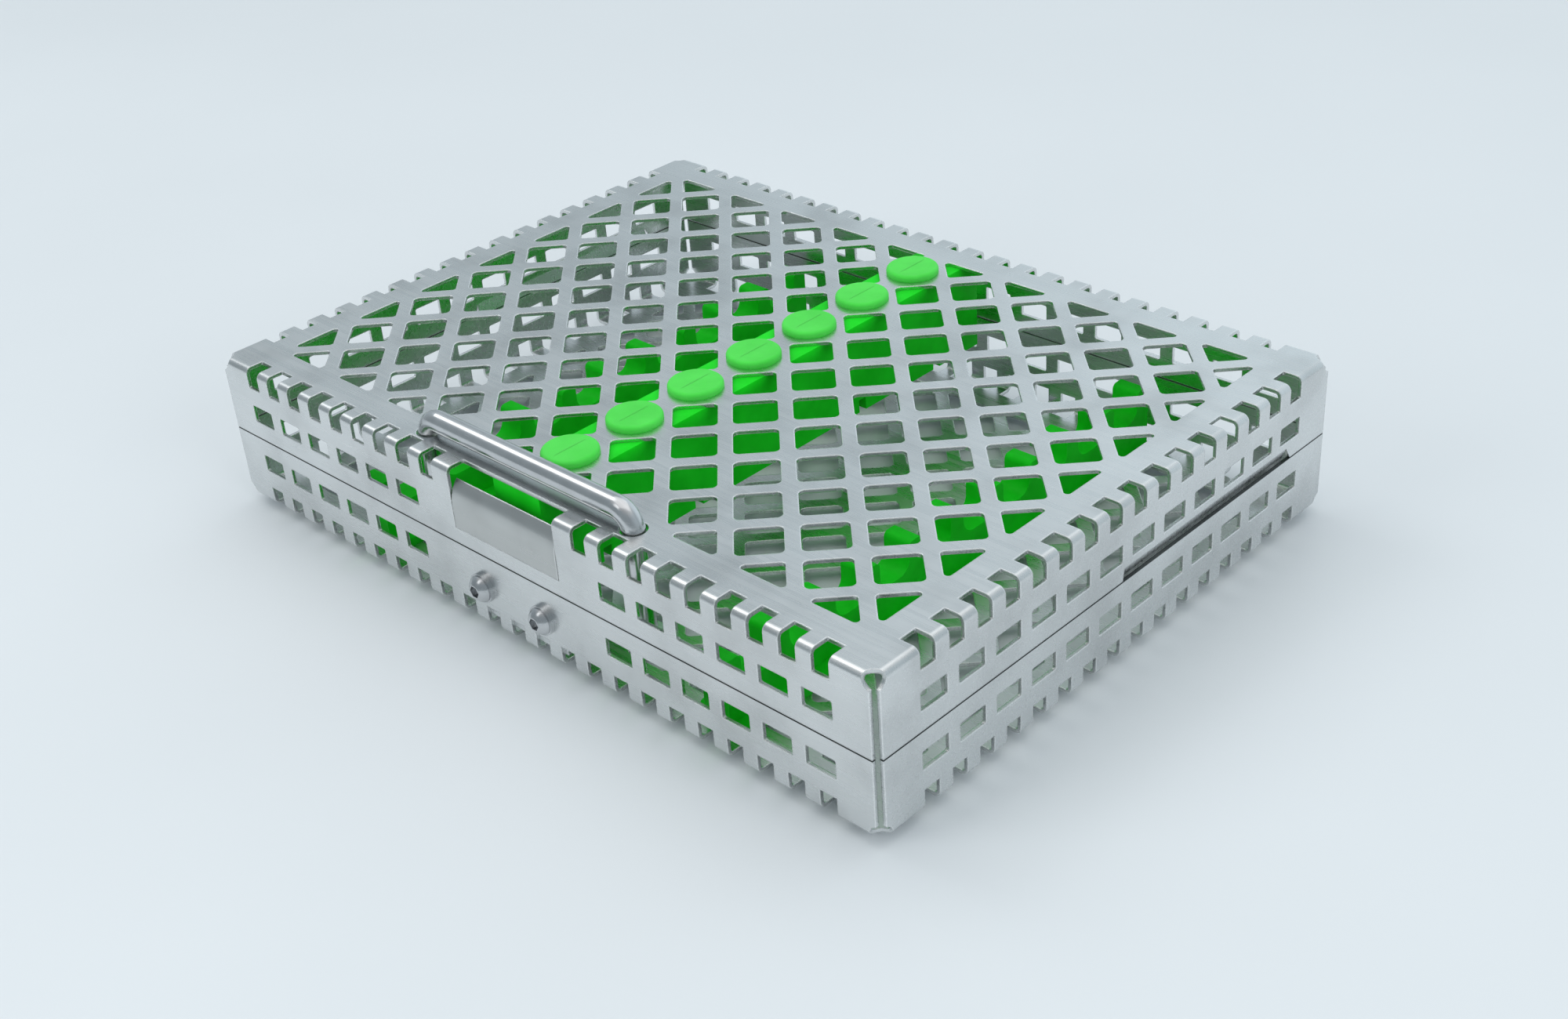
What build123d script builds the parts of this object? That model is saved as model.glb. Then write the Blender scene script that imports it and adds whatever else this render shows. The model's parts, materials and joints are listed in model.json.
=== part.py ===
"""Perforated steel instrument tray: hinged lid, slide-up handle, silicone rails and a sprung latch.

Units are millimetres. +X runs along the long side, +Y points to the hinge, +Z is up.
The origin is under the middle of the tray body, on the plane that the silicone feet stand on.
"""

import os
from math import cos, radians, sin, sqrt

from build123d import *

# ---- overall sizes ----
TRAY_LENGTH = 189.0
TRAY_WIDTH = 139.0
SHELL_HEIGHT = 17.0
SHEET = 0.8
BEND_RADIUS = 1.5
SEAM_GAP = 0.2

# ---- silicone studs: they stand proud of both shells and carry the tray ----
BUTTON_RADIUS = 5.85
CAP_HEIGHT = 1.5
FOOT_HEIGHT = 2.0
BUTTON_ROUNDING = 0.8
STUD_RADIUS = 4.3

# ---- levels ----
BASE_BOTTOM = FOOT_HEIGHT
FLOOR_TOP = BASE_BOTTOM + SHEET
SEAM = BASE_BOTTOM + SHELL_HEIGHT
BASE_RIM = SEAM - SEAM_GAP / 2
LID_RIM = SEAM + SEAM_GAP / 2
LID_TOP = SEAM + SHELL_HEIGHT
LID_UNDERSIDE = LID_TOP - SHEET

HALF_LENGTH = TRAY_LENGTH / 2
HALF_WIDTH = TRAY_WIDTH / 2
INNER_HALF_WIDTH = HALF_WIDTH - SHEET

# ---- perforation: square holes standing on a corner ----
HOLE_SIDE = 9.0
HOLE_ROUNDING = 1.2
HALF_HOLE_ROUNDING = 0.8
WEB = 3.0
CELL = (HOLE_SIDE + WEB) * sqrt(2)
ROWS_HALF = 3
COLUMNS_HALF = 4

# ---- slots around the bend, and windows in the walls ----
SLOT_WIDTH = 4.0
SLOT_PITCH = 7.5
SLOT_REACH = 4.3
SLOT_DEPTH = 4.5
LONG_SLOTS_HALF = 11
SHORT_SLOTS_HALF = 8
WINDOW_WIDTH = 7.0
WINDOW_HEIGHT = 4.0
WINDOW_ROUNDING = 0.4
WINDOW_DROP = 10.8
LONG_WINDOW_PITCH = 10.15
SHORT_WINDOW_PITCH = 10.0
LONG_WINDOWS_HALF = 8
SHORT_WINDOWS_HALF = 6
FRONT_WINDOWS_FROM = 3
FRONT_SLOTS_FROM = 3

# ---- corners ----
CORNER_GAP = 1.3
RELIEF_RADIUS = 2.6

# ---- spring tongue in the lid's front wall ----
OPENING_HALF = 15.5
OPENING_DROP = 13.4
TONGUE_HALF = 15.25
TONGUE_ROOT_GAP = 0.04
TONGUE_STRAIGHT = 5.4
TONGUE_CURL_RADIUS = 7.2
TONGUE_CURL_ANGLE = 44.0
CATCH_HALF = 9.0
CATCH_LOW = 27.1
CATCH_HIGH = 27.8
CATCH_FLANGE_LOW = 25.4
CATCH_REACH = 1.4
CATCH_THICKNESS = 0.5

# ---- latch bracket inside the base ----
BRACKET_SHEET = 0.8
BRACKET_HALF = 14.0
BRACKET_LOW = 4.4
BRACKET_STEP = 15.6
BRACKET_ARM_HALF = 9.0
BRACKET_ARM_TOP = 30.2
BRACKET_ARM_INSET = 1.6
NOSE_LOW = 28.4
NOSE_FLAT = 0.3
NOSE_REACH = 1.0

# ---- M3 fastenings of the bracket ----
SCREW_X = 9.0
SCREW_Z = 11.3
SCREW_RADIUS = 1.5
SCREW_CLEARANCE_RADIUS = 1.6
SCREW_HEAD_RADIUS = 2.85
SCREW_HEAD_HEIGHT = 1.65
SCREW_HEAD_RIM = 0.25
SCREW_HEAD_FLAT_RADIUS = 1.5
SCREW_HEAD_SHOULDER_RADIUS = 2.3
SCREW_HEAD_SHOULDER = 1.0
SCREW_SOCKET_FLATS = 2.3
SCREW_SOCKET_DEPTH = 1.3
SCREW_LENGTH = 5.5
WASHER_RADIUS = 3.2
WASHER_THICKNESS = 1.0
NUT_FLATS = 5.5
NUT_HEIGHT = 2.4
NUT_BORE_RADIUS = 1.52

# ---- handle ----
ROD_RADIUS = 2.3
LEG_X = 30.0
LEG_Y = -62.0
LEG_HOLE_RADIUS = 2.7
HANDLE_RISE = 3.3
HANDLE_BEND = 4.0
LEG_END = 10.0
STOP_RADIUS = 3.75
STOP_BORE_RADIUS = 2.32
STOP_LOW = 10.5
STOP_HIGH = 13.5

# ---- locating lips of the lid's side walls ----
LIP_FROM = -1.0
LIP_TO = 54.0
LIP_TOP = 21.8
LIP_LOW = 18.4
LIP_INSET = 1.2
LIP_SLIT = 0.4
LIP_NOTCH = 1.6

# ---- silicone bar under the lid ----
BAR_HALF_WIDTH = 6.8
BAR_HALF_LENGTH = 65.0
BAR_DEPTH = 21.0
BAR_SLIT_WIDTH = 2.2
BAR_SLIT_DEPTH = 3.0
BAR_SLIT_PITCH = 25.14
BAR_SLITS_HALF = 2

# ---- toothed silicone rails on the floor ----
RAIL_X = 3 * CELL
TOOTH_PITCH = 12.57
TEETH_HALF = 5
TOOTH_WIDTH = 4.0
RAIL_WIDTH = 6.5
RAIL_TOP = 18.4
GROOVE_DEPTH = 6.5
GROOVE_ROUNDING = 3.0
TOOTH_ROUNDING = 1.2
FOOT_WIDTH = 13.0
FOOT_THICKNESS = 2.0
FOOT_CORNER = 3.0

# ---- hinges ----
HINGE_X = 55.0
HINGE_WIDTH = 24.0
LEAF_SHEET = 0.8
KNUCKLE_RADIUS = 2.0
KNUCKLE_MIDDLE = 8.0
KNUCKLE_GAP = 0.2
PIN_RADIUS = 1.0
PIN_CLEARANCE = 0.05
PIN_OVERHANG = 0.6
HINGE_Y = HALF_WIDTH + 2.1
LEAF_NEAR = 2.2
LEAF_FAR = 4.1

# ---- how near two levels are to count as one, when edges and corners are picked ----
LEVEL_TOLERANCE = 0.01

os.makedirs("parts", exist_ok=True)


def save(builder, name):
    """Label a finished sub-part and write it out."""
    builder.part.label = name
    export_step(builder.part, f"parts/{name}.step")


def bent_block(length, width, bend_level, open_level, radius):
    """A block whose four edges at bend_level are rounded like a folded sheet."""
    with BuildPart() as block:
        with BuildSketch(Plane.XY.offset(min(bend_level, open_level))):
            Rectangle(length, width)
        extrude(amount=abs(open_level - bend_level))
        bends = block.faces().filter_by(Axis.Z).sort_by(lambda face: abs(face.center().Z - bend_level))[0]
        fillet(bends.edges(), radius)
    return block.part


def half_hole():
    """A perforation cut off along its diagonal: the flat side is on local X, the point on local +Y."""
    reach = HOLE_SIDE / sqrt(2)
    with BuildSketch() as cell:
        Polygon((-reach, 0), (reach, 0), (0, reach), align=None)
        fillet(cell.vertices(), HALF_HOLE_ROUNDING)
    return cell.sketch


def hole_centres():
    """Centres of the whole perforations on both interleaved grids."""
    centres = []
    for row in range(-ROWS_HALF, ROWS_HALF + 1):
        centres += [(column * CELL, row * CELL) for column in range(-COLUMNS_HALF, COLUMNS_HALF + 1)]
    for row in range(-ROWS_HALF, ROWS_HALF):
        for column in range(-COLUMNS_HALF - 1, COLUMNS_HALF + 1):
            centres.append(((column + 0.5) * CELL, (row + 0.5) * CELL))
    return centres


def half_hole_places(front_gaps):
    """Places of the clipped perforations round the edge; front_gaps are the X values left solid."""
    places = []
    edge_y = (ROWS_HALF + 0.5) * CELL
    edge_x = (COLUMNS_HALF + 1) * CELL
    for column in range(-COLUMNS_HALF - 1, COLUMNS_HALF + 1):
        x = (column + 0.5) * CELL
        places.append(Location((x, edge_y, 0), (0, 0, 180)))
        if not any(abs(x - gap) < WEB for gap in front_gaps):
            places.append(Location((x, -edge_y, 0), (0, 0, 0)))
    for row in range(-ROWS_HALF, ROWS_HALF + 1):
        places.append(Location((edge_x, row * CELL, 0), (0, 0, 90)))
        places.append(Location((-edge_x, row * CELL, 0), (0, 0, -90)))
    return places


def wall_plane(side):
    """Plane on a wall's outer face: local X along the wall, local Y up, normal outward."""
    origin, along, outward = {
        "front": ((0, -HALF_WIDTH, 0), (1, 0, 0), (0, -1, 0)),
        "back": ((0, HALF_WIDTH, 0), (-1, 0, 0), (0, 1, 0)),
        "right": ((HALF_LENGTH, 0, 0), (0, 1, 0), (1, 0, 0)),
        "left": ((-HALF_LENGTH, 0, 0), (0, -1, 0), (-1, 0, 0)),
    }[side]
    return Plane(origin=origin, x_dir=along, z_dir=outward)


def perforate(level, front_gaps=()):
    """Cut the perforation through the sheet whose lower face is at level."""
    clipped = half_hole()
    with BuildSketch(Plane.XY.offset(level)) as cut:
        with Locations(*hole_centres()):
            RectangleRounded(HOLE_SIDE, HOLE_SIDE, HOLE_ROUNDING, rotation=45)
        with Locations(*half_hole_places(front_gaps)):
            add(clipped)
    extrude(cut.sketch, amount=SHEET, mode=Mode.SUBTRACT)


def slot_round_the_bend(level, direction, front_from):
    """Cut the slots that wrap the bend between the plate at level and the walls."""
    overrun = 1.0
    reach = SLOT_REACH + overrun
    long_spots = [index * SLOT_PITCH for index in range(-LONG_SLOTS_HALF, LONG_SLOTS_HALF + 1)]
    front_spots = [spot for spot in long_spots if abs(spot) > (front_from - 0.5) * SLOT_PITCH]
    short_spots = [(index + 0.5) * SLOT_PITCH for index in range(-SHORT_SLOTS_HALF, SHORT_SLOTS_HALF)]
    row_y = HALF_WIDTH + overrun - reach / 2
    row_x = HALF_LENGTH + overrun - reach / 2
    with BuildSketch(Plane.XY.offset(level - direction * overrun)) as cut:
        with Locations(*[(x, row_y) for x in long_spots]):
            Rectangle(SLOT_WIDTH, reach)
        with Locations(*[(x, -row_y) for x in front_spots]):
            Rectangle(SLOT_WIDTH, reach)
        with Locations(*[(side * row_x, y) for side in (-1, 1) for y in short_spots]):
            Rectangle(reach, SLOT_WIDTH)
    extrude(cut.sketch, amount=direction * (SLOT_DEPTH + overrun), mode=Mode.SUBTRACT)


def cut_windows(height):
    """Cut the rows of small windows, centred at height, through all four walls."""
    long_spots = [index * LONG_WINDOW_PITCH for index in range(-LONG_WINDOWS_HALF, LONG_WINDOWS_HALF + 1)]
    front_spots = [spot for spot in long_spots if abs(spot) > (FRONT_WINDOWS_FROM - 0.5) * LONG_WINDOW_PITCH]
    short_spots = [
        (index + 0.5) * SHORT_WINDOW_PITCH for index in range(-SHORT_WINDOWS_HALF, SHORT_WINDOWS_HALF)
    ]
    rows = {"front": front_spots, "back": long_spots, "left": short_spots, "right": short_spots}
    for side, spots in rows.items():
        with BuildSketch(wall_plane(side)) as cut:
            with Locations(*[(spot, height) for spot in spots]):
                RectangleRounded(WINDOW_WIDTH, WINDOW_HEIGHT, WINDOW_ROUNDING)
        extrude(cut.sketch, amount=-2 * SHEET, mode=Mode.SUBTRACT)


def open_corners(bend_level, direction):
    """Leave the vertical slit and the round relief where two folded walls meet."""
    corners = [(side_x, side_y) for side_x in (-1, 1) for side_y in (-1, 1)]
    inset = CORNER_GAP / 2
    with BuildSketch(Plane.XY.offset(bend_level)) as cut:
        with Locations(*[(x * (HALF_LENGTH - inset), y * (HALF_WIDTH - inset)) for x, y in corners]):
            Rectangle(CORNER_GAP, CORNER_GAP)
    extrude(cut.sketch, amount=direction * SHELL_HEIGHT, mode=Mode.SUBTRACT)
    skin = SHEET / 2
    middle = bend_level + direction * skin
    with Locations(*[(x * (HALF_LENGTH - skin), y * (HALF_WIDTH - skin), middle) for x, y in corners]):
        Sphere(RELIEF_RADIUS, mode=Mode.SUBTRACT)


def stud_and_button(face_level, button_side, button_height, spots):
    """Add studs through the sheet whose outer face is at face_level, with round buttons outside."""
    with BuildSketch(Plane.XY.offset(face_level)) as studs:
        with Locations(*spots):
            Circle(STUD_RADIUS)
    extrude(studs.sketch, amount=-button_side * SHEET)
    with BuildSketch(Plane.XY.offset(face_level)) as buttons:
        with Locations(*spots):
            Circle(BUTTON_RADIUS)
    extrude(buttons.sketch, amount=button_side * button_height)


def round_buttons(builder, level):
    """Round the outer rims of the buttons whose flat faces lie at level."""
    rims = builder.edges().filter_by(GeomType.CIRCLE)
    rims = rims.filter_by(lambda edge: abs(edge.center().Z - level) < LEVEL_TOLERANCE)
    fillet(rims, BUTTON_ROUNDING)


# ---- base shell: floor and four folded walls ----
base_blank = bent_block(TRAY_LENGTH, TRAY_WIDTH, BASE_BOTTOM, BASE_RIM, BEND_RADIUS)
base_hollow = bent_block(
    TRAY_LENGTH - 2 * SHEET, TRAY_WIDTH - 2 * SHEET, FLOOR_TOP, BASE_RIM, BEND_RADIUS - SHEET
)
with BuildPart() as base_shell:
    add(base_blank)
    add(base_hollow, mode=Mode.SUBTRACT)
    perforate(BASE_BOTTOM)
    slot_round_the_bend(BASE_BOTTOM, 1, 0)
    cut_windows(BASE_BOTTOM + WINDOW_DROP)
    open_corners(BASE_BOTTOM, 1)
    with BuildSketch(wall_plane("front")):
        with Locations((-SCREW_X, SCREW_Z), (SCREW_X, SCREW_Z)):
            Circle(SCREW_CLEARANCE_RADIUS)
    extrude(amount=-2 * SHEET, mode=Mode.SUBTRACT)
save(base_shell, "base_shell")

# ---- lid shell: mirror form of the base, with handle holes, tongue opening and side lips ----
lid_blank = bent_block(TRAY_LENGTH, TRAY_WIDTH, LID_TOP, LID_RIM, BEND_RADIUS)
lid_hollow = bent_block(
    TRAY_LENGTH - 2 * SHEET, TRAY_WIDTH - 2 * SHEET, LID_UNDERSIDE, LID_RIM, BEND_RADIUS - SHEET
)
with BuildPart() as lid_shell:
    add(lid_blank)
    add(lid_hollow, mode=Mode.SUBTRACT)
    perforate(LID_UNDERSIDE, front_gaps=(-1.5 * CELL, 1.5 * CELL))
    slot_round_the_bend(LID_TOP, -1, FRONT_SLOTS_FROM)
    cut_windows(LID_TOP - WINDOW_DROP)
    open_corners(LID_TOP, -1)
    # Holes for the handle's legs.
    with BuildSketch(Plane.XY.offset(LID_UNDERSIDE)):
        with Locations((-LEG_X, LEG_Y), (LEG_X, LEG_Y)):
            Circle(LEG_HOLE_RADIUS)
    extrude(amount=SHEET, mode=Mode.SUBTRACT)
    # Opening that frees the spring tongue and runs over the bend into the top.
    with BuildSketch(Plane.XY.offset(LID_TOP - OPENING_DROP)):
        with Locations((0, -HALF_WIDTH + SLOT_REACH / 2)):
            Rectangle(2 * OPENING_HALF, SLOT_REACH)
    extrude(amount=OPENING_DROP, mode=Mode.SUBTRACT)
    # Side lips: part of each wall's edge is freed, and leans inward to sit inside the base.
    for side in (-1, 1):
        with BuildSketch(Plane.YZ.offset(side * (HALF_LENGTH - SHEET))):
            with BuildLine():
                Polyline(
                    (LIP_FROM - LIP_SLIT, LID_RIM),
                    (LIP_FROM, LIP_TOP),
                    (LIP_TO, LIP_TOP),
                    (LIP_TO + LIP_NOTCH, LID_RIM),
                    close=True,
                )
            make_face()
        extrude(amount=side * SHEET, mode=Mode.SUBTRACT)
        with BuildSketch(Plane.XZ.offset(-LIP_FROM)):
            with BuildLine():
                Polyline(
                    (side * HALF_LENGTH, LIP_TOP),
                    (side * (HALF_LENGTH - LIP_INSET), LIP_LOW),
                    (side * (HALF_LENGTH - LIP_INSET - SHEET), LIP_LOW),
                    (side * (HALF_LENGTH - SHEET), LIP_TOP),
                    close=True,
                )
            make_face()
        extrude(amount=-(LIP_TO - LIP_FROM))
save(lid_shell, "lid_shell")

# ---- silicone bar that presses on the instruments, buttoned through the lid ----
bar_spots = [(0, row * CELL) for row in range(-ROWS_HALF, ROWS_HALF + 1)]
with BuildPart() as lid_bar:
    with BuildSketch(Plane.XY.offset(LID_UNDERSIDE - BAR_DEPTH)):
        Rectangle(2 * BAR_HALF_WIDTH, 2 * BAR_HALF_LENGTH)
    extrude(amount=BAR_DEPTH)
    with BuildSketch(Plane.XY.offset(LID_UNDERSIDE - BAR_DEPTH)):
        with Locations(*[(0, spot * BAR_SLIT_PITCH) for spot in range(-BAR_SLITS_HALF, BAR_SLITS_HALF + 1)]):
            Rectangle(2 * BAR_HALF_WIDTH, BAR_SLIT_WIDTH)
    extrude(amount=BAR_SLIT_DEPTH, mode=Mode.SUBTRACT)
    stud_and_button(LID_TOP, 1, CAP_HEIGHT, bar_spots)
    round_buttons(lid_bar, LID_TOP + CAP_HEIGHT)
save(lid_bar, "lid_bar")

# ---- toothed silicone rails, buttoned through the floor ----
rail_half_length = TEETH_HALF * TOOTH_PITCH + TOOTH_WIDTH / 2
groove_width = TOOTH_PITCH - TOOTH_WIDTH
groove_spots = [((index + 0.5) * TOOTH_PITCH, RAIL_TOP) for index in range(-TEETH_HALF, TEETH_HALF)]
for rail_name, rail_x in (("base_rail_left", -RAIL_X), ("base_rail_right", RAIL_X)):
    rail_spots = [(rail_x, row * CELL) for row in range(-ROWS_HALF, ROWS_HALF + 1)]
    with BuildPart() as rail:
        with BuildSketch(Plane.YZ.offset(rail_x - RAIL_WIDTH / 2)) as comb:
            with Locations((0, (FLOOR_TOP + RAIL_TOP) / 2)):
                Rectangle(2 * rail_half_length, RAIL_TOP - FLOOR_TOP)
            with Locations(*groove_spots):
                RectangleRounded(groove_width, 2 * GROOVE_DEPTH, GROOVE_ROUNDING, mode=Mode.SUBTRACT)
            tips = comb.vertices().filter_by(lambda corner: abs(corner.Y - RAIL_TOP) < LEVEL_TOLERANCE)
            fillet(tips, TOOTH_ROUNDING)
        extrude(amount=RAIL_WIDTH)
        with BuildSketch(Plane.XY.offset(FLOOR_TOP)):
            with Locations((rail_x, 0)):
                RectangleRounded(FOOT_WIDTH, 2 * rail_half_length, FOOT_CORNER)
        extrude(amount=FOOT_THICKNESS)
        stud_and_button(BASE_BOTTOM, -1, FOOT_HEIGHT, rail_spots)
        round_buttons(rail, BASE_BOTTOM - FOOT_HEIGHT)
    save(rail, rail_name)

# ---- spring tongue: flat root, top curled inward ----
tongue_root = LID_TOP - OPENING_DROP + TONGUE_ROOT_GAP
curl_start = tongue_root + TONGUE_STRAIGHT
curl = radians(TONGUE_CURL_ANGLE)
curl_centre_y = -HALF_WIDTH + TONGUE_CURL_RADIUS


def curl_point(radius, angle):
    """Point on the curled top at a distance from the curl's centre and an angle above level."""
    return (curl_centre_y - radius * cos(angle), curl_start + radius * sin(angle))


with BuildPart() as release_tongue:
    with BuildSketch(Plane.YZ.offset(-TONGUE_HALF)):
        with BuildLine():
            inner_radius = TONGUE_CURL_RADIUS - SHEET
            Line((-HALF_WIDTH, tongue_root), (-HALF_WIDTH, curl_start))
            ThreePointArc(
                (-HALF_WIDTH, curl_start),
                curl_point(TONGUE_CURL_RADIUS, curl / 2),
                curl_point(TONGUE_CURL_RADIUS, curl),
            )
            Line(curl_point(TONGUE_CURL_RADIUS, curl), curl_point(inner_radius, curl))
            ThreePointArc(
                curl_point(inner_radius, curl),
                curl_point(inner_radius, curl / 2),
                (-HALF_WIDTH + SHEET, curl_start),
            )
            Line((-HALF_WIDTH + SHEET, curl_start), (-HALF_WIDTH + SHEET, tongue_root))
            Line((-HALF_WIDTH + SHEET, tongue_root), (-HALF_WIDTH, tongue_root))
        make_face()
    extrude(amount=2 * TONGUE_HALF)
save(release_tongue, "release_tongue")

# ---- catch ledge: a small angle fixed to the back of the tongue ----
with BuildPart() as tongue_catch:
    with BuildSketch(Plane.YZ.offset(-CATCH_HALF)):
        with BuildLine():
            Polyline(
                (-INNER_HALF_WIDTH, CATCH_FLANGE_LOW),
                (-INNER_HALF_WIDTH, CATCH_HIGH),
                (-INNER_HALF_WIDTH + CATCH_REACH, CATCH_HIGH),
                (-INNER_HALF_WIDTH + CATCH_REACH, CATCH_LOW),
                (-INNER_HALF_WIDTH + CATCH_THICKNESS, CATCH_LOW),
                (-INNER_HALF_WIDTH + CATCH_THICKNESS, CATCH_FLANGE_LOW),
                close=True,
            )
        make_face()
    extrude(amount=2 * CATCH_HALF)
save(tongue_catch, "tongue_catch")

# ---- latch bracket: plate on the base wall, stepped arm and outward nose ----
plate_back = -INNER_HALF_WIDTH + BRACKET_SHEET
arm_front = -INNER_HALF_WIDTH + BRACKET_ARM_INSET
arm_back = arm_front + BRACKET_SHEET
with BuildPart() as latch_bracket:
    with BuildSketch(Plane.YZ.offset(-BRACKET_HALF)):
        with Locations((-INNER_HALF_WIDTH + BRACKET_SHEET / 2, (BRACKET_LOW + BRACKET_STEP) / 2)):
            Rectangle(BRACKET_SHEET, BRACKET_STEP - BRACKET_LOW)
    extrude(amount=2 * BRACKET_HALF)
    with BuildSketch(Plane.YZ.offset(-BRACKET_ARM_HALF)):
        with BuildLine():
            Polyline(
                (-INNER_HALF_WIDTH, BRACKET_STEP),
                (-INNER_HALF_WIDTH, BRACKET_STEP - BRACKET_SHEET),
                (arm_back, BRACKET_STEP - BRACKET_SHEET),
                (arm_back, BRACKET_ARM_TOP),
                (arm_front, BRACKET_ARM_TOP),
                (arm_front - NOSE_REACH, NOSE_LOW + NOSE_FLAT),
                (arm_front - NOSE_REACH, NOSE_LOW),
                (arm_front, NOSE_LOW),
                (arm_front, BRACKET_STEP),
                close=True,
            )
        make_face()
    extrude(amount=2 * BRACKET_ARM_HALF)
    with BuildSketch(Plane.XZ.offset(INNER_HALF_WIDTH)):
        with Locations((-SCREW_X, SCREW_Z), (SCREW_X, SCREW_Z)):
            Circle(SCREW_CLEARANCE_RADIUS)
    extrude(amount=-BRACKET_SHEET, mode=Mode.SUBTRACT)
save(latch_bracket, "latch_bracket")

# ---- the bracket's two fastenings: button-head screw, washer and nut ----
head_seat = HALF_WIDTH + WASHER_THICKNESS
head_rim = -head_seat - SCREW_HEAD_RIM
head_shoulder = -head_seat - SCREW_HEAD_SHOULDER
head_face = -head_seat - SCREW_HEAD_HEIGHT
for side_name, screw_x in (("left", -SCREW_X), ("right", SCREW_X)):
    with BuildPart() as screw:
        with BuildSketch(Plane(origin=(screw_x, 0, SCREW_Z), x_dir=(1, 0, 0), z_dir=(0, 0, 1))):
            with BuildLine():
                Line((0, -head_seat), (SCREW_HEAD_RADIUS, -head_seat))
                Line((SCREW_HEAD_RADIUS, -head_seat), (SCREW_HEAD_RADIUS, head_rim))
                ThreePointArc(
                    (SCREW_HEAD_RADIUS, head_rim),
                    (SCREW_HEAD_SHOULDER_RADIUS, head_shoulder),
                    (SCREW_HEAD_FLAT_RADIUS, head_face),
                )
                Line((SCREW_HEAD_FLAT_RADIUS, head_face), (0, head_face))
                Line((0, head_face), (0, -head_seat))
            make_face()
        revolve(axis=Axis((screw_x, 0, SCREW_Z), (0, 1, 0)))
        with BuildSketch(Plane.XZ.offset(head_seat)):
            with Locations((screw_x, SCREW_Z)):
                Circle(SCREW_RADIUS)
        extrude(amount=-SCREW_LENGTH)
        with BuildSketch(Plane.XZ.offset(head_seat + SCREW_HEAD_HEIGHT)):
            with Locations((screw_x, SCREW_Z)):
                RegularPolygon(SCREW_SOCKET_FLATS / 2, 6, major_radius=False)
        extrude(amount=-SCREW_SOCKET_DEPTH, mode=Mode.SUBTRACT)
    save(screw, f"latch_screw_{side_name}")

    with BuildPart() as washer:
        with BuildSketch(Plane.XZ.offset(HALF_WIDTH)):
            with Locations((screw_x, SCREW_Z)):
                Circle(WASHER_RADIUS)
                Circle(SCREW_CLEARANCE_RADIUS, mode=Mode.SUBTRACT)
        extrude(amount=WASHER_THICKNESS)
    save(washer, f"latch_washer_{side_name}")

    with BuildPart() as nut:
        with BuildSketch(Plane.XZ.offset(-plate_back)):
            with Locations((screw_x, SCREW_Z)):
                RegularPolygon(NUT_FLATS / 2, 6, major_radius=False)
                Circle(NUT_BORE_RADIUS, mode=Mode.SUBTRACT)
        extrude(amount=-NUT_HEIGHT)
    save(nut, f"latch_nut_{side_name}")

# ---- handle: one bent rod, with a stop collar near the end of each leg ----
bar_level = LID_TOP + HANDLE_RISE
with BuildPart() as handle_rod:
    with BuildLine(Plane.XZ.offset(-LEG_Y)):
        FilletPolyline(
            (-LEG_X, LEG_END),
            (-LEG_X, bar_level),
            (LEG_X, bar_level),
            (LEG_X, LEG_END),
            radius=HANDLE_BEND,
        )
    with BuildSketch(Plane(origin=(-LEG_X, LEG_Y, LEG_END), z_dir=(0, 0, 1))):
        Circle(ROD_RADIUS)
    sweep()
save(handle_rod, "handle_rod")

for side_name, leg_x in (("left", -LEG_X), ("right", LEG_X)):
    with BuildPart() as stop:
        with BuildSketch(Plane.XY.offset(STOP_LOW)):
            with Locations((leg_x, LEG_Y)):
                Circle(STOP_RADIUS)
                Circle(STOP_BORE_RADIUS, mode=Mode.SUBTRACT)
        extrude(amount=STOP_HIGH - STOP_LOW)
    save(stop, f"handle_stop_{side_name}")

# ---- hinges: a leaf on each shell and a pin through their knuckles ----
outer_knuckle = (HINGE_WIDTH - KNUCKLE_MIDDLE) / 2 - KNUCKLE_GAP
outer_centre = HINGE_WIDTH / 2 - outer_knuckle / 2


def hinge_leaf(centre_x, direction, knuckles):
    """Leaf reaching down (-1) or up (+1) from the pin; knuckles are (local x, width) pairs."""
    with BuildPart() as leaf:
        with BuildSketch(Plane.XZ.offset(-HALF_WIDTH)):
            with Locations((centre_x, SEAM + direction * (LEAF_NEAR + LEAF_FAR) / 2)):
                Rectangle(HINGE_WIDTH, LEAF_FAR - LEAF_NEAR)
            for local_x, width in knuckles:
                with Locations((centre_x + local_x, SEAM + direction * LEAF_NEAR / 2)):
                    Rectangle(width, LEAF_NEAR)
        extrude(amount=-LEAF_SHEET)
        for local_x, width in knuckles:
            with BuildSketch(Plane.YZ.offset(centre_x + local_x - width / 2)):
                with Locations((HINGE_Y, SEAM)):
                    Circle(KNUCKLE_RADIUS)
            extrude(amount=width)
        with BuildSketch(Plane.YZ.offset(centre_x - HINGE_WIDTH / 2)):
            with Locations((HINGE_Y, SEAM)):
                Circle(PIN_RADIUS + PIN_CLEARANCE)
        extrude(amount=HINGE_WIDTH, mode=Mode.SUBTRACT)
    return leaf


for side_name, centre_x in (("left", -HINGE_X), ("right", HINGE_X)):
    base_leaf = hinge_leaf(centre_x, -1, [(0, KNUCKLE_MIDDLE)])
    save(base_leaf, f"hinge_base_leaf_{side_name}")
    lid_leaf = hinge_leaf(centre_x, 1, [(-outer_centre, outer_knuckle), (outer_centre, outer_knuckle)])
    save(lid_leaf, f"hinge_lid_leaf_{side_name}")

    with BuildPart() as hinge_pin:
        with BuildSketch(Plane.YZ.offset(centre_x - HINGE_WIDTH / 2 - PIN_OVERHANG)):
            with Locations((HINGE_Y, SEAM)):
                Circle(PIN_RADIUS)
        extrude(amount=HINGE_WIDTH + 2 * PIN_OVERHANG)
    save(hinge_pin, f"hinge_pin_{side_name}")
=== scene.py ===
"""Looks of the perforated instrument tray: satin and polished stainless steel, and green silicone."""

import json
import math

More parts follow.
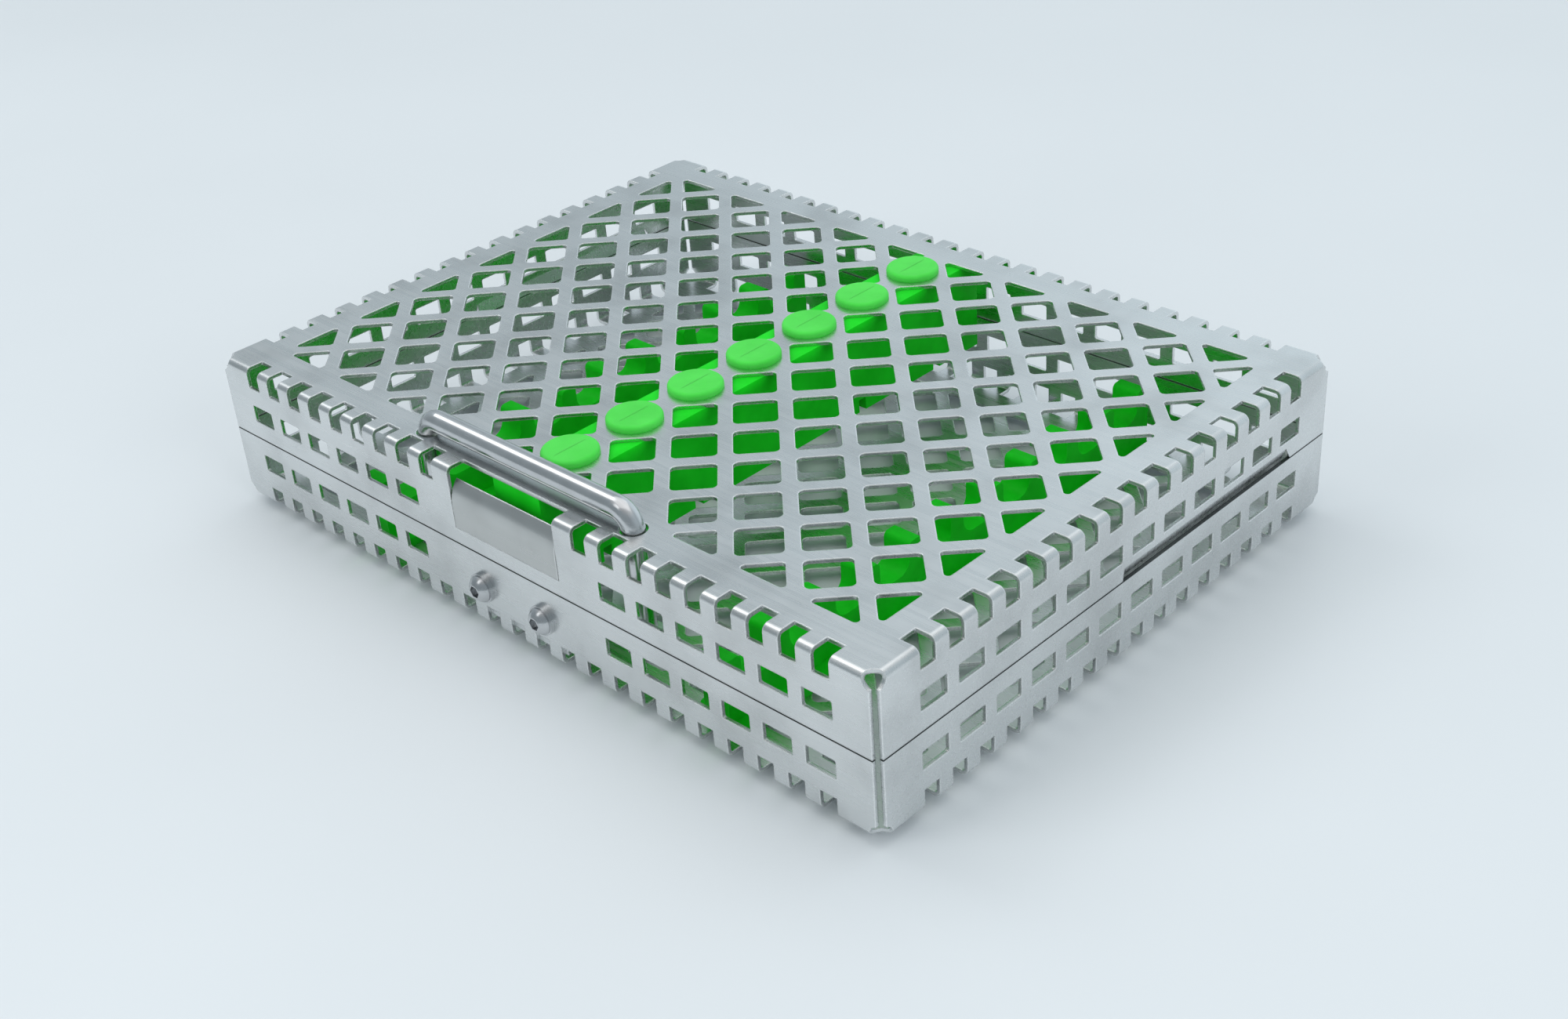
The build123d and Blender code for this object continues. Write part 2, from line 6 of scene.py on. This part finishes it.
import bmesh
import bpy
from mathutils import Matrix, Vector


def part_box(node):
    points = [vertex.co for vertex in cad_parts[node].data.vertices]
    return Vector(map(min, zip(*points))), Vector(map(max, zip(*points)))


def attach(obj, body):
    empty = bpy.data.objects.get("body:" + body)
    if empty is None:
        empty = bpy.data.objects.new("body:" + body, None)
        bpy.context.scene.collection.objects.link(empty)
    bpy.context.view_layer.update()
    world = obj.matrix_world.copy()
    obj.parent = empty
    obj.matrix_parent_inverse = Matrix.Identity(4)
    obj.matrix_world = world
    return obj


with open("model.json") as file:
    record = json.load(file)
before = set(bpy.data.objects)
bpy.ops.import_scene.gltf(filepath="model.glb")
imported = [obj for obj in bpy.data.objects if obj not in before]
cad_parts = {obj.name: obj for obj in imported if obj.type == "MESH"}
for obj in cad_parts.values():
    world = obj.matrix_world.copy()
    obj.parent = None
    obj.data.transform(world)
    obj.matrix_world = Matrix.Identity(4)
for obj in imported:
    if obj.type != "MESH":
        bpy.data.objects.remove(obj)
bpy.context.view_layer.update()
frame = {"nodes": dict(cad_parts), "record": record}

MM = 0.001

# ---------------------------------------------------------------- places taken from the frame
bar_low, bar_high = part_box("lid_bar")
LID_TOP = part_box("lid_shell")[1].z
BAR_TOP = bar_high.z
BASE_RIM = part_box("base_shell")[1].z

# ---------------------------------------------------------------- small sizes of the looks
EDGE_ROUND = 0.42 * MM
EDGE_SAMPLES = 4
EDGE_SAME_NORMAL = 0.99
EDGE_TURNED_NORMAL = 0.90
SEAM_SHADOW_FULL = 0.06 * MM
SEAM_SHADOW_GONE = 0.18 * MM
SEAM_EDGE_NONE = 0.3 * MM
SEAM_EDGE_FULL = 0.6 * MM
GRAIN_DEPTH = 0.02 * MM
SKIN_DEPTH = 0.03 * MM
CAP_COLOUR_BLEND = 0.5 * MM
FLOOR_HALF = 12.0
MOULD_LINE_WIDTH = 0.32 * MM
MOULD_LINE_HEIGHT = 0.11 * MM
MOULD_LINE_SINK = 0.02 * MM
MOULD_LINE_INSET = 0.9 * MM
MOULD_LINE_TAPER = 0.35
MOULD_LINE_STATIONS = 24
MOULD_LINE_SIDES = 8
CAP_GAP = 6.0 * MM
MERGE = 0.0001 * MM
LEVEL_TOLERANCE = 0.01 * MM

# ---------------------------------------------------------------- noises
NOISE_LOW = 0.3
NOISE_HIGH = 0.7
EVEN = (1.0, 1.0, 1.0)
ALONG_X = (0.04, 1.0, 1.0)
RUB_STRETCH = (0.12, 6.0, 6.0)

# ---------------------------------------------------------------- shares of the steel's look
DARK_PATCH = 0.86
LIGHT_PATCH = 1.06
EDGE_METALLIC = 0.7
EDGE_ROUGHNESS = 0.14


# ---------------------------------------------------------------- node helpers
def new_material(name):
    """An empty node material and its node tree."""
    material = bpy.data.materials.new(name)
    material.use_nodes = True
    tree = material.node_tree
    tree.nodes.clear()
    return material, tree


def node(tree, kind, values=None, **settings):
    """Adds a node, sets its properties and its input values."""
    made = tree.nodes.new(kind)
    for key, value in settings.items():
        setattr(made, key, value)
    for key, value in (values or {}).items():
        made.inputs[key].default_value = value
    return made


def stretched_noise(tree, stretch, scale, detail, roughness):
    """Noise in the piece's own metres; a stretch below 1 draws it out along that axis."""
    place = node(tree, "ShaderNodeTexCoord")
    mapping = node(tree, "ShaderNodeMapping", {"Scale": stretch})
    noise = node(
        tree, "ShaderNodeTexNoise",
        {"Scale": scale, "Detail": detail, "Roughness": roughness},
    )
    tree.links.new(place.outputs["Object"], mapping.inputs["Vector"])
    tree.links.new(mapping.outputs["Vector"], noise.inputs["Vector"])
    return noise.outputs["Fac"]


def ramp(tree, source, stops):
    """A colour ramp on source; stops are (place, colour)."""
    made = node(tree, "ShaderNodeValToRGB")
    elements = made.color_ramp.elements
    elements[0].position, elements[0].color = stops[0][0], (*stops[0][1], 1.0)
    elements[1].position, elements[1].color = stops[-1][0], (*stops[-1][1], 1.0)
    for place, colour in stops[1:-1]:
        elements.new(place).color = (*colour, 1.0)
    tree.links.new(source, made.inputs["Fac"])
    return made.outputs["Color"]


def between(tree, source, low, high, at_low=0.0, at_high=1.0):
    """Maps source from low..high onto at_low..at_high, held at both ends."""
    made = node(
        tree, "ShaderNodeMapRange",
        {"From Min": low, "From Max": high, "To Min": at_low, "To Max": at_high},
    )
    tree.links.new(source, made.inputs["Value"])
    return made.outputs["Result"]


def spread(tree, noise, low, high):
    """Maps the middle of a noise, where most of it lies, onto low..high."""
    return between(tree, noise, NOISE_LOW, NOISE_HIGH, low, high)


def object_height(tree):
    """A point's height in the piece's own metres."""
    place = node(tree, "ShaderNodeTexCoord")
    split = node(tree, "ShaderNodeSeparateXYZ")
    tree.links.new(place.outputs["Object"], split.inputs["Vector"])
    return split.outputs["Z"]


def maths(tree, operation, first, second=None):
    """A Math node on first and second, each a socket or a number."""
    made = node(tree, "ShaderNodeMath", operation=operation)
    for socket, value in zip(made.inputs, (first, second)):
        if isinstance(value, (int, float)):
            socket.default_value = value
        elif value is not None:
            tree.links.new(value, socket)
    return made.outputs["Value"]


def mixed(tree, share, first, second):
    """Colour that goes from first to second as share goes from 0 to 1."""
    made = node(tree, "ShaderNodeMix", data_type="RGBA")
    sockets = {s.identifier: s for s in made.inputs}
    tree.links.new(share, sockets["Factor_Float"])
    tree.links.new(first, sockets["A_Color"])
    tree.links.new(second, sockets["B_Color"])
    return next(s for s in made.outputs if s.identifier == "Result_Color")


def mixed_value(tree, share, first, second):
    """Number that goes from first to second as share goes from 0 to 1; first may be a socket."""
    made = node(tree, "ShaderNodeMix", data_type="FLOAT")
    sockets = {s.identifier: s for s in made.inputs}
    tree.links.new(share, sockets["Factor_Float"])
    if isinstance(first, (int, float)):
        sockets["A_Float"].default_value = first
    else:
        tree.links.new(first, sockets["A_Float"])
    sockets["B_Float"].default_value = second
    return next(s for s in made.outputs if s.identifier == "Result_Float")


def edge_share(tree, rounded):
    """1 on sharp edges and 0 elsewhere: how far the rounded normal leaves the face's own."""
    face = node(tree, "ShaderNodeNewGeometry")
    same = node(tree, "ShaderNodeVectorMath", operation="DOT_PRODUCT")
    tree.links.new(rounded, same.inputs[0])
    tree.links.new(face.outputs["Normal"], same.inputs[1])
    return between(tree, same.outputs["Value"], EDGE_SAME_NORMAL, EDGE_TURNED_NORMAL)


def seam_distance(tree):
    """How far a point is above or below the base's rim, in metres."""
    return maths(tree, "ABSOLUTE", maths(tree, "SUBTRACT", object_height(tree), BASE_RIM))


def bump(tree, height, strength, distance, normal=None):
    """A normal roughened by height, on top of normal if there is one."""
    made = node(tree, "ShaderNodeBump", {"Strength": strength, "Distance": distance})
    tree.links.new(height, made.inputs["Height"])
    if normal is not None:
        tree.links.new(normal, made.inputs["Normal"])
    return made.outputs["Normal"]


def finish_material(tree, shader):
    """Joins the shader to the material's output."""
    out = node(tree, "ShaderNodeOutputMaterial")
    tree.links.new(shader.outputs["BSDF"], out.inputs["Surface"])


# ---------------------------------------------------------------- materials
def satin_steel(name, tint, rough_low, rough_high):
    """Rolled stainless sheet: fine grain, cloudy marks, rounded edges with a painted highlight, and a
    painted shadow at the seam.
    """
    material, tree = new_material(name)
    fine = stretched_noise(tree, ALONG_X, scale=900.0, detail=5.0, roughness=0.65)
    cloudy = stretched_noise(tree, EVEN, scale=55.0, detail=3.0, roughness=0.5)
    speckle = stretched_noise(tree, EVEN, scale=2600.0, detail=2.0, roughness=0.5)
    dark = tuple(c * DARK_PATCH for c in tint)
    light = tuple(min(c * LIGHT_PATCH, 1.0) for c in tint)
    colour = ramp(tree, cloudy, [(0.32, dark), (0.5, tint), (0.7, light)])
    rough = spread(tree, fine, rough_low, rough_high)
    rounded = node(tree, "ShaderNodeBevel", {"Radius": EDGE_ROUND}, samples=EDGE_SAMPLES).outputs["Normal"]
    seam = seam_distance(tree)
    off_seam = between(tree, seam, SEAM_EDGE_NONE, SEAM_EDGE_FULL)
    edge = maths(tree, "MULTIPLY", edge_share(tree, rounded), off_seam)
    # Painted shadow: a dark band along the base's rim stands for the shade inside the gap at the seam.
    painted_seam_shadow = ramp(tree, cloudy, [(0.3, (0.05, 0.055, 0.055)), (0.7, (0.10, 0.105, 0.10))])
    shaded = between(tree, seam, SEAM_SHADOW_FULL, SEAM_SHADOW_GONE, 1.0, 0.0)
    colour = mixed(tree, shaded, colour, painted_seam_shadow)
    # Rounded edges: the rounded normal and lower roughness are real; the near-white colour on them is a
    # painted highlight.
    edge_painted_highlight = ramp(tree, cloudy, [(0.3, (0.95, 0.96, 0.96)), (0.7, (0.98, 0.99, 0.99))])
    normal = bump(tree, fine, 0.05, GRAIN_DEPTH, normal=rounded)
    normal = bump(tree, speckle, 0.07, GRAIN_DEPTH, normal=normal)
    shader = node(tree, "ShaderNodeBsdfPrincipled", {"Anisotropic": 0.25})
    tree.links.new(mixed(tree, edge, colour, edge_painted_highlight), shader.inputs["Base Color"])
    tree.links.new(mixed_value(tree, edge, 1.0, EDGE_METALLIC), shader.inputs["Metallic"])
    tree.links.new(mixed_value(tree, edge, rough, EDGE_ROUGHNESS), shader.inputs["Roughness"])
    tree.links.new(normal, shader.inputs["Normal"])
    finish_material(tree, shader)
    return material


def polished_steel(name):
    """Turned and polished stainless: bright, with faint rub marks."""
    material, tree = new_material(name)
    rub = stretched_noise(tree, RUB_STRETCH, scale=260.0, detail=4.0, roughness=0.6)
    cloudy = stretched_noise(tree, EVEN, scale=90.0, detail=3.0, roughness=0.5)
    colour = ramp(tree, cloudy, [(0.35, (0.54, 0.55, 0.56)), (0.65, (0.66, 0.67, 0.68))])
    rough = spread(tree, rub, 0.16, 0.29)
    shader = node(tree, "ShaderNodeBsdfPrincipled", {"Metallic": 1.0})
    tree.links.new(colour, shader.inputs["Base Color"])
    tree.links.new(rough, shader.inputs["Roughness"])
    tree.links.new(bump(tree, rub, 0.06, GRAIN_DEPTH), shader.inputs["Normal"])
    finish_material(tree, shader)
    return material


def silicone(name):
    """Moulded silicone: slightly translucent, soft sheen, with painted shade making it a darker, richer
    green inside and painted light making it paler on the caps.
    """
    material, tree = new_material(name)
    cloudy = stretched_noise(tree, EVEN, scale=120.0, detail=3.0, roughness=0.5)
    skin = stretched_noise(tree, EVEN, scale=3800.0, detail=3.0, roughness=0.6)
    # Painted shade and light on one silicone: a darker, richer green below the lid's top, a paler green on
    # the caps above it.
    inside_painted_shade_green = ramp(tree, cloudy, [(0.35, (0.006, 0.68, 0.012)), (0.65, (0.012, 0.82, 0.022))])
    pale = ramp(tree, cloudy, [(0.35, (0.085, 0.72, 0.085)), (0.65, (0.105, 0.80, 0.105))])
    height = object_height(tree)
    outside = between(tree, height, LID_TOP - CAP_COLOUR_BLEND, LID_TOP + CAP_COLOUR_BLEND)
    colour = mixed(tree, outside, inside_painted_shade_green, pale)
    shader = node(
        tree, "ShaderNodeBsdfPrincipled",
        {
            "Subsurface Weight": 0.35,
            "Subsurface Radius": (0.25, 1.0, 0.2),
            "Subsurface Scale": 2.0 * MM,
            "Specular IOR Level": 0.12,
        },
    )
    tree.links.new(colour, shader.inputs["Base Color"])
    tree.links.new(spread(tree, skin, 0.42, 0.56), shader.inputs["Roughness"])
    tree.links.new(bump(tree, skin, 0.12, SKIN_DEPTH), shader.inputs["Normal"])
    finish_material(tree, shader)
    return material


STEEL = (0.712, 0.727, 0.727)
# A darker copy of the sheet's tint: painted shade for the tongue.
PAINTED_SHADE_STEEL = (0.565, 0.575, 0.565)
sheet_steel = satin_steel("sheet_steel", STEEL, rough_low=0.23, rough_high=0.33)
tongue_painted_shade_steel = satin_steel("tongue_painted_shade_steel", PAINTED_SHADE_STEEL, rough_low=0.26, rough_high=0.36)
bright_steel = polished_steel("bright_steel")
green = silicone("green_silicone_look")


def wear(node_name, material):
    """Gives a carried-over node its look."""
    piece = frame["nodes"][node_name]
    piece.data.materials.clear()
    piece.data.materials.append(material)


LOOK = {"satin_steel": sheet_steel, "polished_steel": bright_steel, "green_silicone": green}
for part in frame["record"]["subparts"]:
    wear(part["node"], LOOK[part["material_slot"]])
# The tongue is the same sheet; its darker tint is painted shade for the dim surroundings it mirrors.
wear("release_tongue", tongue_painted_shade_steel)


# ---------------------------------------------------------------- mould lines on the lid's green caps
def cap_spans():
    """Lowest and highest Y of each cap's flat top, read from the lid bar's own mesh."""
    tops = sorted(
        corner.co.y for corner in frame["nodes"]["lid_bar"].data.vertices
        if corner.co.z > BAR_TOP - LEVEL_TOLERANCE
    )
    spans = [[tops[0], tops[0]]]
    for y in tops:
        if y - spans[-1][1] > CAP_GAP:
            spans.append([y, y])
        spans[-1][1] = y
    return spans


def mould_line(number, y_from, y_to):
    """A fine ridge across one cap: half-oval in section, fading out at both ends."""
    stations = MOULD_LINE_STATIONS
    sides = MOULD_LINE_SIDES
    middle_x = (bar_low.x + bar_high.x) / 2
    build = bmesh.new()
    rows = []
    for station in range(stations + 1):
        along = station / stations
        swell = math.sin(math.pi * along) ** MOULD_LINE_TAPER if 0.0 < along < 1.0 else 0.0
        row = []
        for side in range(sides + 1):
            turn = math.pi * side / sides
            row.append(build.verts.new((
                middle_x - MOULD_LINE_WIDTH / 2 * swell * math.cos(turn),
                y_from + along * (y_to - y_from),
                BAR_TOP - MOULD_LINE_SINK + MOULD_LINE_HEIGHT * swell * math.sin(turn),
            )))
        rows.append(row)
    for near, far in zip(rows, rows[1:]):
        for side in range(sides):
            build.faces.new((near[side], near[side + 1], far[side + 1], far[side]))
        build.faces.new((near[sides], near[0], far[0], far[sides]))
    bmesh.ops.remove_doubles(build, verts=build.verts, dist=MERGE)
    bmesh.ops.dissolve_degenerate(build, edges=build.edges, dist=MERGE)
    bmesh.ops.recalc_face_normals(build, faces=build.faces)
    mesh = bpy.data.meshes.new(f"cap_mould_line_{number}")
    build.to_mesh(mesh)
    build.free()
    mesh.materials.append(green)
    line = bpy.data.objects.new(mesh.name, mesh)
    bpy.context.scene.collection.objects.link(line)
    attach(line, "lid")


for number, (y_from, y_to) in enumerate(cap_spans(), start=1):
    mould_line(number, y_from + MOULD_LINE_INSET, y_to - MOULD_LINE_INSET)


# ---------------------------------------------------------------- floor, light and camera
def pale_floor():
    """A wide, faintly mottled pale floor."""
    mesh = bpy.data.meshes.new("floor")
    build = bmesh.new()
    bmesh.ops.create_grid(build, x_segments=1, y_segments=1, size=FLOOR_HALF)
    build.to_mesh(mesh)
    build.free()
    floor = bpy.data.objects.new("floor", mesh)
    bpy.context.scene.collection.objects.link(floor)
    material, tree = new_material("pale_floor")
    mottle = stretched_noise(tree, EVEN, scale=6.0, detail=3.0, roughness=0.5)
    colour = ramp(tree, mottle, [(0.3, (0.775, 0.815, 0.84)), (0.7, (0.80, 0.84, 0.865))])
    shader = node(
        tree, "ShaderNodeBsdfPrincipled", {"Roughness": 0.42, "Specular IOR Level": 0.35}
    )
    tree.links.new(colour, shader.inputs["Base Color"])
    finish_material(tree, shader)
    mesh.materials.append(material)


def studio_light():
    """A pale room, brighter overhead and behind: three soft lamps, and two that aren't mirrored."""
    world = bpy.data.worlds.new("studio")
    bpy.context.scene.world = world
    world.use_nodes = True
    tree = world.node_tree
    tree.nodes.clear()
    place = node(tree, "ShaderNodeTexCoord")
    split = node(tree, "ShaderNodeSeparateXYZ")
    tree.links.new(place.outputs["Generated"], split.inputs["Vector"])
    colour = ramp(
        tree, between(tree, split.outputs["Z"], -1.0, 1.0),
        [
            (0.0, (0.70, 0.72, 0.73)), (0.5, (0.50, 0.58, 0.62)), (0.80, (0.52, 0.60, 0.65)),
            (0.92, (0.72, 0.75, 0.77)), (1.0, (0.72, 0.73, 0.74)),
        ],
    )
    strength = ramp(
        tree, between(tree, split.outputs["Y"], -1.0, 1.0),
        [
            (0.225, (0.60, 0.60, 0.60)), (0.575, (0.94, 0.94, 0.94)), (0.79, (0.88, 0.88, 0.88)),
            (0.89, (1.45, 1.45, 1.45)), (1.0, (1.60, 1.60, 1.60)),
        ],
    )
    shine = node(tree, "ShaderNodeBackground")
    tree.links.new(colour, shine.inputs["Color"])
    tree.links.new(strength, shine.inputs["Strength"])
    out = node(tree, "ShaderNodeOutputWorld")
    tree.links.new(shine.outputs["Background"], out.inputs["Surface"])
    for name, place, size, power, mirrored in (
        ("key", (-0.15, 0.10, 1.0), 1.30, 2.8, True),
        ("left", (-0.85, -0.05, 1.0), 0.50, 1.2, True),
        ("front_fill", (-0.45, -0.95, 0.50), 0.60, 2.6, False),
        ("right_fill", (1.00, -0.10, 0.50), 0.60, 2.7, False),
        ("front", (-0.30, -0.85, 0.95), 0.40, 0.6, True),
    ):
        lamp = bpy.data.lights.new(name, "AREA")
        lamp.size = size
        lamp.energy = power
        holder = bpy.data.objects.new(name, lamp)
        holder.location = place
        holder.rotation_mode = "QUATERNION"
        holder.rotation_quaternion = (-Vector(place)).to_track_quat("-Z", "Y")
        holder.visible_glossy = mirrored
        bpy.context.scene.collection.objects.link(holder)


CAMERA_PLACE = Vector((0.27043, -0.25749, 0.22634))
CAMERA_HEADING = 45.817
CAMERA_TILT = 58.565
CAMERA_ROLL = -4.356
LENS = 46.02
SENSOR_WIDTH = 36.0
NEAREST_SEEN = 0.01
FARTHEST_SEEN = 20.0


def studio_camera():
    """The camera, off the tray's front right corner and looking down at it."""
    data = bpy.data.cameras.new("camera")
    data.lens = LENS
    data.sensor_width = SENSOR_WIDTH
    data.clip_start = NEAREST_SEEN
    data.clip_end = FARTHEST_SEEN
    camera = bpy.data.objects.new("camera", data)
    turn = (
        Matrix.Rotation(math.radians(CAMERA_HEADING), 4, "Z")
        @ Matrix.Rotation(math.radians(CAMERA_TILT), 4, "X")
        @ Matrix.Rotation(math.radians(CAMERA_ROLL), 4, "Z")
    )
    camera.matrix_world = Matrix.Translation(CAMERA_PLACE) @ turn
    bpy.context.scene.collection.objects.link(camera)
    bpy.context.scene.camera = camera


pale_floor()
studio_light()
studio_camera()
bpy.context.scene.view_settings.view_transform = "Standard"
